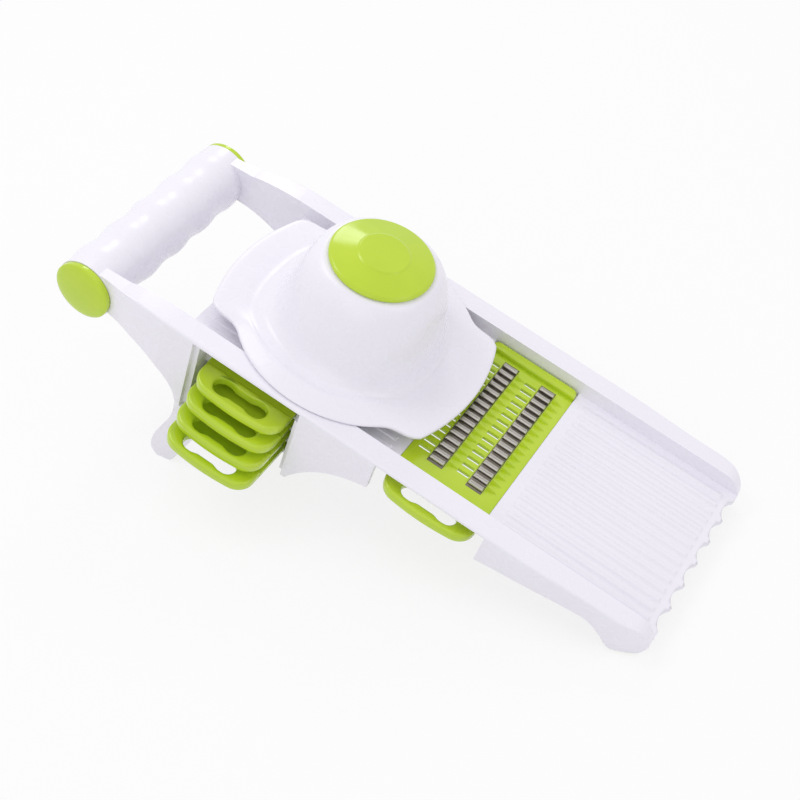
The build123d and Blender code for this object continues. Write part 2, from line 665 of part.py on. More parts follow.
# Julienne insert in the bay: two comb rows, each with slots behind it and spikes in front of it
bay = insert_base(BAY_U, 0)
COMB_SIZE = (COMB_LENGTH, COMB_WIDTH)
julienne_body = insert_frame(bay)
for row in COMB_ROWS:
    julienne_body = steel_seat(bay, julienne_body, row, COMB_SIZE)
with BuildPart() as julienne_frame:
    add(julienne_body)
    for row in COMB_ROWS:
        slot_u = row - COMB_WIDTH / 2 - SLOT_LENGTH / 2 - SPIKE_GAP
        spike_u = row + COMB_WIDTH / 2 + SPIKE_GAP
        with BuildSketch(bay):
            with Locations((slot_u, COMB_SHIFT)):
                with GridLocations(1, COMB_PITCH, 1, COMB_RIDGES - 1):
                    Rectangle(SLOT_LENGTH, SLOT_WIDTH)
        extrude(amount=-INSERT_T, mode=Mode.SUBTRACT)
        with BuildSketch(bay):
            with Locations((spike_u, COMB_SHIFT)):
                with GridLocations(1, COMB_PITCH, 1, COMB_RIDGES - 1):
                    Polygon((0, -SPIKE_BASE / 2), (SPIKE_LENGTH, 0), (0, SPIKE_BASE / 2), align=None)
        extrude(amount=SPIKE_RISE)
save(julienne_frame.part, "julienne_frame")
for comb_name, row in zip(("julienne_comb_rear", "julienne_comb_front"), COMB_ROWS):
    save(comb(bay, row, COMB_SIZE, COMB_RIDGES, (COMB_PITCH, COMB_RIDGE_W, COMB_RISE)), comb_name)

# Stored inserts, top one first, each drawn out a little further than the one above it
rack = [
    insert_base(RACK_U, RACK_TOP - n * RACK_PITCH, FIRST_PULL + n * PULL_STEP) for n in range(RACK_LEVELS)
]

# Straight slicer: a ground blade on a raised seat, with the gap for the slice behind its edge
with BuildPart() as slicer_frame:
    add(insert_frame(rack[0]))
    with BuildSketch(rack[0]):
        with Locations((BLADE_WIDTH / 2 + BLADE_BEVEL / 2, 0)):
            Rectangle(BLADE_WIDTH - BLADE_BEVEL, BLADE_LENGTH)
    extrude(amount=BLADE_RISE)
    with BuildSketch(rack[0].offset(-INSERT_T)):
        with Locations(((BLADE_BEVEL - BLADE_GAP) / 2, 0)):
            Rectangle(BLADE_GAP + BLADE_BEVEL, BLADE_LENGTH - 2 * BLADE_BEVEL)
    extrude(amount=INSERT_T + BLADE_RISE, mode=Mode.SUBTRACT)
save(slicer_frame.part, "slicer_frame")
blade_far = rack[0].from_local_coords((0, BLADE_LENGTH / 2, BLADE_RISE))
blade_end = Plane(blade_far, x_dir=DECK.x_dir, z_dir=-DECK.y_dir)
with BuildPart() as slicer_blade:
    with BuildSketch(blade_end):
        Polygon((0, 0), (BLADE_WIDTH, 0), (BLADE_WIDTH, BLADE_T), (BLADE_BEVEL, BLADE_T), align=None)
    extrude(amount=BLADE_LENGTH)
save(slicer_blade.part, "slicer_blade")

# Wavy slicer: the same seat with a corrugated blade
with BuildPart() as wavy_frame:
    add(insert_frame(rack[1]))
    with BuildSketch(rack[1].offset(-INSERT_T)):
        with Locations(((BLADE_BEVEL - BLADE_GAP) / 2, 0)):
            Rectangle(BLADE_GAP + BLADE_BEVEL, BLADE_LENGTH - 2 * BLADE_BEVEL)
    extrude(amount=INSERT_T, mode=Mode.SUBTRACT)
save(wavy_frame.part, "wavy_frame")
wave_face = Plane(rack[1].from_local_coords((0, 0, WAVE_RISE)), x_dir=DECK.y_dir, z_dir=DECK.x_dir)
with BuildPart() as wavy_blade:
    with BuildSketch(wave_face):
        with BuildLine():
            pitch = BLADE_LENGTH / WAVES
            for n in range(WAVES):
                start = n * pitch - BLADE_LENGTH / 2
                swing = WAVE_RISE if n % 2 else -WAVE_RISE
                for lift in (0, STEEL_T):
                    ThreePointArc((start, lift), (start + pitch / 2, lift + swing), (start + pitch, lift))
            for end in (-BLADE_LENGTH / 2, BLADE_LENGTH / 2):
                Line((end, 0), (end, STEEL_T))
        make_face()
    extrude(amount=BLADE_WIDTH)
save(wavy_blade.part, "wavy_blade")

# Coarse shredder: one wide comb
SHRED_SIZE = (COMB_LENGTH, BLADE_WIDTH)
save(steel_seat(rack[2], insert_frame(rack[2]), 0, SHRED_SIZE), "shredder_frame")
save(comb(rack[2], 0, SHRED_SIZE, SHRED_RIDGES, (SHRED_PITCH, SHRED_RIDGE_W, SHRED_RISE)), "shredder_comb")

# Grater: a steel sheet with rows of raised, drilled teeth
GRATER_SIZE = (GRATER_LENGTH, GRATER_WIDTH)
save(steel_seat(rack[3], insert_frame(rack[3]), 0, GRATER_SIZE), "grater_frame")
with BuildPart() as grater_sheet:
    with BuildSketch(rack[3]):
        with Locations((0, COMB_SHIFT)):
            Rectangle(GRATER_WIDTH, GRATER_LENGTH)
    extrude(amount=-STEEL_T)
    tooth_u = GRATER_WIDTH / (GRATER_COLUMNS + 1)
    tooth_v = GRATER_LENGTH / (GRATER_ROWS + 1)
    with BuildSketch(rack[3]):
        with Locations((0, COMB_SHIFT)):
            with GridLocations(tooth_u, tooth_v, GRATER_COLUMNS, GRATER_ROWS):
                RegularPolygon(GRATER_TOOTH_R, GRATER_SIDES)
    extrude(amount=GRATER_RISE)
    with BuildSketch(rack[3].offset(GRATER_RISE)):
        with Locations((0, COMB_SHIFT)):
            with GridLocations(tooth_u, tooth_v, GRATER_COLUMNS, GRATER_ROWS):
                RegularPolygon(GRATER_HOLE_R, GRATER_SIDES)
    extrude(amount=-GRATER_RISE - STEEL_T, mode=Mode.SUBTRACT)
save(grater_sheet.part, "grater_sheet")
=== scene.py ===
import json
import math

import bmesh
import bpy
from bpy.props import FloatProperty, FloatVectorProperty, IntProperty, PointerProperty
from mathutils import Matrix, Vector

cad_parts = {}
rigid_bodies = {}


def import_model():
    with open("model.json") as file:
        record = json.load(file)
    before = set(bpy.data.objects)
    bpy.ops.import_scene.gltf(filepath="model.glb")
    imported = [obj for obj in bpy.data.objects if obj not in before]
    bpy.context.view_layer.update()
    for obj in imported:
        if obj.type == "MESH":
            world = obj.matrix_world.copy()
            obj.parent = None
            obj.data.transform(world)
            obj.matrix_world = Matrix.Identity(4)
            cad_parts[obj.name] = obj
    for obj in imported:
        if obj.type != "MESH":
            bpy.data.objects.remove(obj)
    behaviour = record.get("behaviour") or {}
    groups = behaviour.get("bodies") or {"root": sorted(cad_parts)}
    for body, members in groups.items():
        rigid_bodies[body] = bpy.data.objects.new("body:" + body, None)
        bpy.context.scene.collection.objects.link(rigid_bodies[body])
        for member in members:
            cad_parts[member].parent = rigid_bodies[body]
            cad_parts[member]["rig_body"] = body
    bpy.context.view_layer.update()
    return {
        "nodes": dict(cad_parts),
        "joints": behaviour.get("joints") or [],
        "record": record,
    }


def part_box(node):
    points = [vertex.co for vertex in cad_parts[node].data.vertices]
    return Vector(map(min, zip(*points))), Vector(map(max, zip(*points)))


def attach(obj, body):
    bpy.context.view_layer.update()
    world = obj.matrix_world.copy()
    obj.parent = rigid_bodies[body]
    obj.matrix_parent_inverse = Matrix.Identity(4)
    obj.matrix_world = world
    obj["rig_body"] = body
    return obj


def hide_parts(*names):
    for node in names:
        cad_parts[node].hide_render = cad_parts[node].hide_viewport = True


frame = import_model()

bl_info = {
    "name": "Mandoline Slicer",
    "version": (1, 1, 0),
    "blender": (4, 5, 0),
    "location": "View3D > Sidebar > Slicer",
    "description": "Dresses a mandoline slicer with its moulded plastic, pressed steel and a white stage",
    "category": "Object",
}

MM = 0.001

# The deck's own frame: along it to the front, across it to the far side, and square to it
AXES = {joint["name"]: Vector(joint["axis"]).normalized() for joint in frame["joints"]}
ALONG = AXES["holder_slide"]
SQUARE = AXES["plunger_slide"]
ACROSS = SQUARE.cross(ALONG)
# Place of the food holder's middle along the deck, and of its stem's middle above it, in millimetres
HOLDER_U = 12.5
STEM_MIDDLE_W = 32.85


def middle(node):
    """Middle of a CAD node's box, in metres."""
    low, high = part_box(node)
    return (Vector(low) + Vector(high)) / 2


DECK = (Matrix((ALONG, ACROSS, SQUARE)).transposed() * MM).to_4x4()
DECK.translation = middle("plunger_stem") - (HOLDER_U * ALONG + STEM_MIDDLE_W * SQUARE) * MM


def linear(code):
    """Linear colour of an sRGB hex value."""
    shares = [int(code[i:i + 2], 16) / 255 for i in (1, 3, 5)]
    return tuple(c / 12.92 if c <= 0.04045 else ((c + 0.055) / 1.055) ** 2.4 for c in shares)


def length(name, description, millimetres):
    """Property for a length, written in millimetres."""
    return FloatProperty(name=name, description=description, unit="LENGTH", default=millimetres * MM)


def colour(name, description, code):
    """Property for a colour, written as an sRGB hex value."""
    return FloatVectorProperty(name=name, description=description, subtype="COLOR", default=linear(code))


def power(name, description, watts):
    """Property for a lamp's power."""
    return FloatProperty(name=name, description=description, subtype="POWER", default=watts)


class SlicerColours(bpy.types.PropertyGroup):
    """Colours of the plastics and the steel."""

    white: colour("White", "White moulded plastic", "#F2F0F8")
    lime: colour("Lime", "Lime moulded plastic", "#C0DB2C")
    rubber: colour("Rubber", "Lime rubber of the pads", "#B4D02C")
    steel: colour("Steel", "Pressed blade steel", "#C9C4BE")
    # The pressed colour is darker steel that paints the shade in the valleys between a comb's ridges
    pressed: colour("Pressed steel", "Steel in the valleys between the ridges", "#857E76")


class SlicerBody(bpy.types.PropertyGroup):
    """Rails, arms and feet of the body."""

    deck: length("Deck", "Half the width of the deck between the rails", 50.0)
    start: length("Start", "Where the rails begin to draw in", 112.0)
    end: length("End", "Front end of the feet", 205.5)
    lift: length("Lift", "How far the skirt's lower edge is raised", 2.4)
    taper: FloatProperty(name="Taper", description="Share of a rail's width that is drawn in", default=0.13)
    arm: length("Arm", "Where the arms begin to thin", -56.0)
    tip: length("Arm tip", "Where the arms run into the grip", -92.0)
    thin: FloatProperty(name="Thinning", description="Share of an arm's width lost at its tip", default=0.33)


class SlicerGrip(bpy.types.PropertyGroup):
    """Wavy grip and its caps."""

    radius: length("Radius", "Radius of the plain tube", 15.3)
    wave: length("Wave", "Height of a finger wave over the plain tube", 0.6)
    pitch: length("Wave pitch", "From one finger wave to the next", 22.2)
    waves: IntProperty(name="Waves", description="Number of finger waves", default=5)
    crown: length("Cap crown", "Rise of a cap's dome over its rim", 2.0)
    rim: length("Cap rim", "Rounding of a cap's rim", 0.7)


class SlicerHolder(bpy.types.PropertyGroup):
    """Food holder and its knob."""

    brim: length("Brim", "Radius of the round brim", 59.2)
    reach: length("Lobe reach", "How far the two lobes reach along the deck", 65.0)
    half: length("Lobe half width", "Half the width of a lobe", 40.5)
    thickness: length("Brim thickness", "Thickness of the brim", 2.6)
    roll: length("Roll", "How far the brim rolls down at the rails", 1.5)
    wall: length("Wall", "Thickness of the dome", 2.2)
    knob: length("Knob", "Radius of the knob", 25.0)


class SlicerInsert(bpy.types.PropertyGroup):
    """Lime frame that all inserts share."""

    width: length("Width", "Size along the deck", 48.0)
    thickness: length("Thickness", "Thickness of the plate", 3.0)
    far: length("Far end", "From the middle to the far end", 49.5)
    rim: length("Handle rim", "From the middle to the handle's rim", 66.6)
    root: length("Handle root", "From the middle to the handle's root", 50.5)
    edge: length("Handle edge", "Rounding of the handle", 1.4)
    lip: length("Lip", "Rise of the far lip over the plate", 2.4)
    bay: length("Bay", "Middle of the bay along the deck", 90.7)
    rack: length("Rack", "Middle of the rack along the deck", -9.5)
    top: length("Rack top", "Height of the first stored plate", -8.5)
    pitch: length("Rack pitch", "From one stored insert down to the next", 9.0)
    pull: length("First pull", "How far the first stored insert is drawn out", 3.9)
    step: length("Pull step", "How much further the next one is drawn out", 5.5)


class SlicerStage(bpy.types.PropertyGroup):
    """Camera and light of the studio."""

    target: FloatVectorProperty(
        name="Target", description="Point of the deck that the camera looks at", subtype="TRANSLATION",
        unit="LENGTH", default=(0.0489, -0.0145, -0.0022))
    distance: length("Distance", "From the camera to its target", 711.0)
    azimuth: FloatProperty(
        name="Azimuth", description="Turn of the camera round the slicer", subtype="ANGLE",
        default=math.radians(30.46))
    elevation: FloatProperty(
        name="Elevation", description="Height of the camera over the horizon", subtype="ANGLE",
        default=math.radians(42.78))
    lens: FloatProperty(name="Lens", description="Focal length in millimetres", default=67.94)
    key: power("Key light", "Power of the key light", 1.95)
    rim: power("Rim light", "Power of the rim light", 1.2)
    front: power("Front light", "Power of the front light", 1.1)
    side: power("Side light", "Power of the side light", 0.9)


def sizes(group, *names):
    """Values of a property group in millimetres."""
    return [getattr(group, name) / MM for name in names]


# Materials

# Sockets of a Mix node that mixes colours: its factor, its two colours and its result
MIX_FACTOR, MIX_FIRST, MIX_SECOND, MIX_RESULT = 0, 6, 7, 2


def add_node(tree, kind, settings=(), inputs=()):
    """Add a node: settings are its own properties, inputs are values or the sockets that feed it."""
    made = tree.nodes.new(kind)
    for name, value in dict(settings).items():
        setattr(made, name, value)
    for name, value in dict(inputs).items():
        if isinstance(value, bpy.types.NodeSocket):
            tree.links.new(value, made.inputs[name])
        else:
            made.inputs[name].default_value = value
    return made


def start_material(name):
    """New material with its node tree, its principled shader and the object's own coordinates."""
    material = bpy.data.materials.new(name)
    material.use_nodes = True
    tree = material.node_tree
    shader = tree.nodes["Principled BSDF"]
    place = add_node(tree, "ShaderNodeTexCoord").outputs["Object"]
    return material, tree, shader, place


def moulded(name, paint, shade, gloss, grain):
    """Moulded plastic: faint flow clouds and the slight waviness of a polished mould."""
    cloud, cloud_tone, ripple, ripple_height = 45 * MM, 0.8, 7 * MM, 0.2 * MM
    material, tree, shader, place = start_material(name)
    flow = add_node(tree, "ShaderNodeTexNoise", (),
                    {"Vector": place, "Scale": 1 / cloud, "Detail": 3.0, "Roughness": 0.55})
    tint = add_node(tree, "ShaderNodeMapRange", (),
                    {"Value": flow.outputs[0], "From Min": 0.35, "From Max": 0.65,
                     "To Min": 0.0, "To Max": shade})
    tone = add_node(tree, "ShaderNodeMix", {"data_type": "RGBA", "blend_type": "MULTIPLY"},
                    {MIX_FACTOR: tint.outputs[0], MIX_FIRST: (*paint, 1),
                     MIX_SECOND: (*(c * cloud_tone for c in paint), 1)})
    tree.links.new(tone.outputs[MIX_RESULT], shader.inputs["Base Color"])
    fine = add_node(tree, "ShaderNodeTexNoise", (),
                    {"Vector": place, "Scale": 1 / ripple, "Detail": 1.0, "Roughness": 0.4})
    dull = add_node(tree, "ShaderNodeMapRange", (),
                    {"Value": fine.outputs[0], "From Min": 0.3, "From Max": 0.7,
                     "To Min": gloss - 0.05, "To Max": gloss + 0.07})
    tree.links.new(dull.outputs[0], shader.inputs["Roughness"])
    bump = add_node(tree, "ShaderNodeBump", (),
                    {"Strength": grain, "Distance": ripple_height, "Height": fine.outputs[0]})
    tree.links.new(bump.outputs[0], shader.inputs["Normal"])
    return material, shader


def white_polypropylene(colours):
    """Opaque white moulding: reads as a clean satin white with soft highlights."""
    return moulded("moulded_white_polypropylene", colours.white, shade=0.04, gloss=0.27, grain=0.015)[0]


def lime_abs(colours):
    """Lime moulding: reads as a clear, slightly glossy yellow-green."""
    material, shader = moulded("moulded_lime_abs", colours.lime, shade=0.2, gloss=0.17, grain=0.015)
    shader.inputs["Coat Weight"].default_value = 0.2
    shader.inputs["Coat Roughness"].default_value = 0.12
    return material


def lime_rubber(colours):
    """Soft pads: reads as a dull, grippy lime."""
    material, shader = moulded("cast_lime_rubber", colours.rubber, shade=0.3, gloss=0.62, grain=0.4)
    shader.inputs["Specular IOR Level"].default_value = 0.3
    return material


def stainless(name, paint, gloss):
    """Rolled and pressed stainless sheet: reads as grey metal with streaks along the deck. Its darker copy is
    painted shade in the valleys of the combs.
    """
    # Real streaks are finer: these are as coarse as they need to be to show
    streak_width, streak_depth, streak_tone, drawn_out = 0.5 * MM, 0.05 * MM, 0.72, 0.06
    material, tree, shader, place = start_material(name)
    stretch = add_node(tree, "ShaderNodeMapping", (), {"Vector": place, "Scale": (drawn_out, 1.0, 1.0)})
    streak = add_node(tree, "ShaderNodeTexNoise", (),
                      {"Vector": stretch.outputs[0], "Scale": 1 / streak_width, "Detail": 3.0})
    tone = add_node(tree, "ShaderNodeMix", {"data_type": "RGBA"},
                    {MIX_FACTOR: streak.outputs[0], MIX_FIRST: (*(c * streak_tone for c in paint), 1),
                     MIX_SECOND: (*paint, 1)})
    tree.links.new(tone.outputs[MIX_RESULT], shader.inputs["Base Color"])
    dull = add_node(tree, "ShaderNodeMapRange", (),
                    {"Value": streak.outputs[0], "From Min": 0.3, "From Max": 0.7,
                     "To Min": gloss - 0.06, "To Max": gloss + 0.08})
    tree.links.new(dull.outputs[0], shader.inputs["Roughness"])
    bump = add_node(tree, "ShaderNodeBump", (),
                    {"Strength": 0.15, "Distance": streak_depth, "Height": streak.outputs[0]})
    tree.links.new(bump.outputs[0], shader.inputs["Normal"])
    shader.inputs["Metallic"].default_value = 1.0
    return material


def material_for(slot, colours):
    """Material of a slot, made once."""
    makers = {
        "white_plastic": ("moulded_white_polypropylene", white_polypropylene),
        "lime_plastic": ("moulded_lime_abs", lime_abs),
        "lime_rubber": ("cast_lime_rubber", lime_rubber),
        "blade_steel": ("rolled_stainless_steel",
                        lambda c: stainless("rolled_stainless_steel", c.steel, gloss=0.34)),
        # The darker steel paints the shade that falls in the valleys between a comb's ridges
        "valley_shade_steel": ("valley_shade_stainless_steel",
                         lambda c: stainless("valley_shade_stainless_steel", c.pressed, gloss=0.5)),
    }
    name, maker = makers[slot]
    return bpy.data.materials.get(name) or maker(colours)


# Shapes, modelled in millimetres of the deck's frame

# Distances within which points count as one: on a turned shape, and on a copy of a CAD node
SEAM = 0.0005
WELD = 0.001


def softened(corners, steps=6, closed=True):
    """Outline through corners (x, y, radius), each turned into an arc of that radius."""
    line = []
    for i, (x, y, radius) in enumerate(corners):
        here = Vector((x, y))
        if radius == 0 or (not closed and i in (0, len(corners) - 1)):
            line.append(here)
            continue
        before = (Vector(corners[i - 1][:2]) - here).normalized()
        after = (Vector(corners[(i + 1) % len(corners)][:2]) - here).normalized()
        half = before.angle(after) / 2
        centre = here + (before + after).normalized() * radius / math.sin(half)
        start = (here + before * radius / math.tan(half) - centre).normalized()
        end = (here + after * radius / math.tan(half) - centre).normalized()
        line += [centre + start.slerp(end, k / steps) * radius for k in range(steps + 1)]
    return line


def rectangle(x0, x1, y0, y1, radius=0.0, steps=3):
    """Outline of a rectangle with equal corners."""
    corners = ((x0, y0), (x1, y0), (x1, y1), (x0, y1))
    return softened([(x, y, radius) for x, y in corners], steps)


def inset(line, depth):
    """Closed outline moved inwards by a depth, or outwards by a negative one."""
    area = sum(a.cross(b) for a, b in zip(line, line[1:] + line[:1]))
    moved = []
    for before, here, after in zip(line[-1:] + line, line, line[1:] + line[:1]):
        first, second = (Vector((a.y - b.y, b.x - a.x)).normalized()
                         for a, b in ((before, here), (here, after)))
        moved.append(here + math.copysign(depth, depth * area) * (first + second) / (1 + first.dot(second)))
    return moved


def slab(bm, low, high, edges, outline, holes=(), steps=3):
    """Plate with rounded lower and upper rims between two heights, from an outline and its holes."""
    turns = [math.pi / 2 * k / steps for k in range(steps + 1)]
    lower, upper = edges
    rounds = [(lower * (1 - math.sin(t)), low + lower * (1 - math.cos(t))) for t in turns]
    rounds += [(upper * (1 - math.sin(t)), high - upper * (1 - math.cos(t))) for t in reversed(turns)]
    bottom, top = [], []
    for line, side in [(outline, 1)] + [(hole, -1) for hole in holes]:
        rings = []
        for depth, z in rounds:
            verts = [bm.verts.new((*point, z)) for point in inset(line, side * depth)]
            rings.append([bm.edges.new(pair) for pair in zip(verts, verts[1:] + verts[:1])])
        for below, above in zip(rings, rings[1:]):
            bmesh.ops.bridge_loops(bm, edges=below + above)
        bottom += rings[0]
        top += rings[-1]
    for rim in (bottom, top):
        bmesh.ops.triangle_fill(bm, use_beauty=True, edges=rim)


def turn(bm, profile, centre, axis, steps=96):
    """Spin a profile of points round an axis and merge its seam and its poles."""
    verts = [bm.verts.new(point) for point in profile]
    lines = [bm.edges.new(pair) for pair in zip(verts, verts[1:])]
    bmesh.ops.spin(bm, geom=verts + lines, cent=centre, axis=axis, angle=math.tau, steps=steps,
                   use_merge=True)
    bmesh.ops.remove_doubles(bm, verts=bm.verts, dist=SEAM)


def add_piece(context, name, bm, nodes, crease=40.0, extra=()):
    """Set a piece in place of its CAD nodes, with edges sharp where faces meet past the crease angle."""
    bmesh.ops.recalc_face_normals(bm, faces=bm.faces)
    bm.normal_update()
    for face in bm.faces:
        face.smooth = True
    for edge in bm.edges:
        edge.smooth = edge.calc_face_angle(math.pi) < math.radians(crease)
    bmesh.ops.transform(bm, matrix=DECK, verts=bm.verts)
    mesh = bpy.data.meshes.new(name)
    bm.to_mesh(mesh)
    bm.free()
    row = next(r for r in frame["record"]["subparts"] if r["node"] == nodes[0])
    for slot in (row["material_slot"], *extra):
        mesh.materials.append(material_for(slot, context.scene.slicer_colours))
    piece = bpy.data.objects.new(name, mesh)
    context.scene.collection.objects.link(piece)
    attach(piece, frame["nodes"][nodes[0]]["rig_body"])
    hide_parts(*nodes)
    return piece


def smooth_step(value):
    """Ease from 0 to 1."""
    value = min(max(value, 0.0), 1.0)
    return value * value * (3 - 2 * value)


class SLICER_OT_body(bpy.types.Operator):
    """Draw the rails and pads in towards the front feet, on merged copies"""

    bl_idname = "slicer.body"
    bl_label = "Body and pads"

    def execute(self, context):
        group = context.scene.slicer_body
        deck, start, end, lift, arm, tip = sizes(group, "deck", "start", "end", "lift", "arm", "tip")
        # Arm tops: where their slope starts, the solid's slope, the flatter one and how far it runs on.
        # The slacks say which vertices lie on the slope, and which of them are its end past the tip
        top_u, top_w, steep, flat, run_on = -84.0, 4.0, 0.258, 0.07, 5.5
        line_slack, tip_slack = 0.15, 0.5
        # Rounded arm corners, whose sliver faces are merged
        corner_rear, corner_front, corner_w, corner_v, sliver = -86, -70, 3.5, 9.5, 0.4
        # Rails: where they draw in and over what length, where the nose starts, and the draft of their sides
        draw_u, draw_length, nose_u, nose_share = 135, 45, 187, 0.5
        draft, draft_length, rail_top, rail_depth = 0.06, 30, 8, 22
        # Skirt: lengths over which its lower edge rises and falls back, and the depth of that edge
        rise_length, fall_u, fall_length, edge_depth = 4, 188, 14, 8
        # Cuts that let the arms thin and the rails curve, closer together in the nose
        arm_cuts, rail_step, nose_step, nose_cuts_u = 4, 4.0, 2.0, 180
        # Rib zone: its margin along the rails and its height about the deck
        rib_margin, rib_height = 2, 1
        for node, name in (("main_body", "moulded_body"), ("near_front_pad", "near_sole"),
                           ("far_front_pad", "far_sole")):
            bm = bmesh.new()
            bm.from_mesh(frame["nodes"][node].data)
            bmesh.ops.remove_doubles(bm, verts=bm.verts, dist=WELD * MM)
            bmesh.ops.transform(bm, matrix=DECK.inverted(), verts=bm.verts)
            cuts = [tip + (arm - tip) * k / arm_cuts for k in range(arm_cuts + 1)]
            while cuts[-1] < end:
                cuts.append(max(cuts[-1] + (nose_step if cuts[-1] > nose_cuts_u else rail_step), start))
            for cut in cuts:
                bmesh.ops.bisect_plane(bm, geom=bm.verts[:] + bm.edges[:] + bm.faces[:], dist=WELD,
                                       plane_co=(cut, 0, 0), plane_no=(1, 0, 0))
            rounded = [vert for vert in bm.verts if corner_rear < vert.co.x < corner_front
                       and vert.co.z > corner_w and abs(vert.co.y) > deck + corner_v]
            bmesh.ops.remove_doubles(bm, verts=rounded, dist=sliver)
            for vert in bm.verts:
                u, v, w = vert.co
                over = abs(v) - deck
                if u < top_u and abs(w - top_w - steep * (u - top_u)) < line_slack:
                    vert.co.x = tip - run_on if u < tip - tip_slack else u
                    vert.co.z = top_w + flat * (vert.co.x - top_u)
                if over <= 0:
                    continue
                if u < arm:
                    thinned = 1 - group.thin * min((arm - u) / (arm - tip), 1.0)
                    vert.co.y = math.copysign(deck + over * thinned, v)
                if u <= start:
                    continue
                share = 1 - group.taper * smooth_step((u - draw_u) / draw_length)
                share -= nose_share * max((u - nose_u) / (end - nose_u), 0.0) ** 2
                share -= draft * smooth_step((u - start) / draft_length) * max(rail_top - w, 0.0) / rail_depth
                vert.co.y = math.copysign(deck + over * share, v)
                raised = smooth_step((u - start) / rise_length) * smooth_step((fall_u - u) / fall_length)
                vert.co.z += lift * (raised * smooth_step(-w / edge_depth))
            # The deck's ribs keep smooth edges and their own normals, and all else gets even ones
            bm.verts.index_update()
            plain = [vert.index for vert in bm.verts
                     if abs(vert.co.y) > deck - rib_margin or vert.co.x < start
                     or abs(vert.co.z) > rib_height]
            piece = add_piece(context, name, bm, [node], crease=32.0)
            piece.vertex_groups.new(name="plain").add(plain, 1.0, "REPLACE")
            ribbed = set(range(len(piece.data.vertices))) - set(plain)
            for edge in piece.data.edges:
                if ribbed.issuperset(edge.vertices):
                    edge.use_edge_sharp = False
            even = piece.modifiers.new("even shading", "WEIGHTED_NORMAL")
            even.vertex_group = "plain"
            even.keep_sharp = True
            even.weight = 100
        return {"FINISHED"}


class SLICER_OT_grip(bpy.types.Operator):
    """Turn the wavy grip and the two domed caps"""

    bl_idname = "slicer.grip"
    bl_label = "Grip and caps"

    def execute(self, context):
        group = context.scene.slicer_grip
        radius, wave, pitch, crown, rim = sizes(group, "radius", "wave", "pitch", "crown", "rim")
        back = DECK.inverted()
        low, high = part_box("handle_grip")
        centre = back @ middle("handle_grip")
        half = (high[1] - low[1]) / 2 / MM
        wavy = (group.waves - 0.5) * pitch / 2
        # Wall of the tube, the caps' plugs that go into it, and the step between a cap's dome and flank
        tube_wall, plug_gap, plug_depth, plug_round, cap_step = 3.8, 0.2, 8, 1.0, 0.01
        dome_steps, cap_steps = 8, 72
        bore = radius - tube_wall
        samples = 72
        crests = [(2 * k / samples - 1) * wavy for k in range(samples + 1)]
        skin = [(-half, bore), (-half, radius)]
        skin += [(v, radius + wave * math.cos(math.tau * v / pitch)) for v in crests]
        skin += [(half, radius), (half, bore), (-half, bore)]
        bm = bmesh.new()
        turn(bm, [centre + Vector((0, v, r)) for v, r in skin], centre, (0, 1, 0))
        add_piece(context, "wavy_grip", bm, ["handle_grip"])

        for side, node in ((-1, "near_handle_cap"), (1, "far_handle_cap")):
            low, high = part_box(node)
            cap = (high[2] - low[2]) / 2 / MM
            tip = ((high[1] if side > 0 else -low[1]) - side * DECK.translation.y) / MM
            turns = [math.pi / 2 * k / dome_steps for k in range(dome_steps + 1)]
            dome = [(tip - crown * (1 - math.cos(t)), cap * math.sin(t)) for t in turns]
            plug, end = bore - plug_gap, half - plug_depth
            flank = softened([(tip - crown, cap - cap_step, 0), (half, cap, rim), (half, plug, 0),
                              (end, plug, plug_round), (end, 0, 0)], 4, closed=False)
            bm = bmesh.new()
            line = [centre + Vector((0, side * v, r)) for v, r in dome + [tuple(p) for p in flank]]
            turn(bm, line, centre, (0, 1, 0), cap_steps)
            add_piece(context, node.replace("handle_cap", "domed_cap"), bm, [node])
        return {"FINISHED"}


def blended(first, second, width):
    """The smaller of two values, rounded over where they meet."""
    share = max(width - abs(first - second), 0.0) / width
    return min(first, second) - share * share * width / 4


def through(points, steps=5):
    """Smooth line through points, as Catmull-Rom spans."""
    ends = [2 * points[0] - points[1], *points, 2 * points[-1] - points[-2]]
    line = []
    for a, b, c, d in zip(ends, ends[1:], ends[2:], ends[3:]):
        for k in range(steps):
            t = k / steps
            line.append((2 * b + (c - a) * t + (2 * a - 5 * b + 4 * c - d) * t * t
                         + (3 * b - a - 3 * c + d) * t ** 3) / 2)
    return line + [points[-1]]


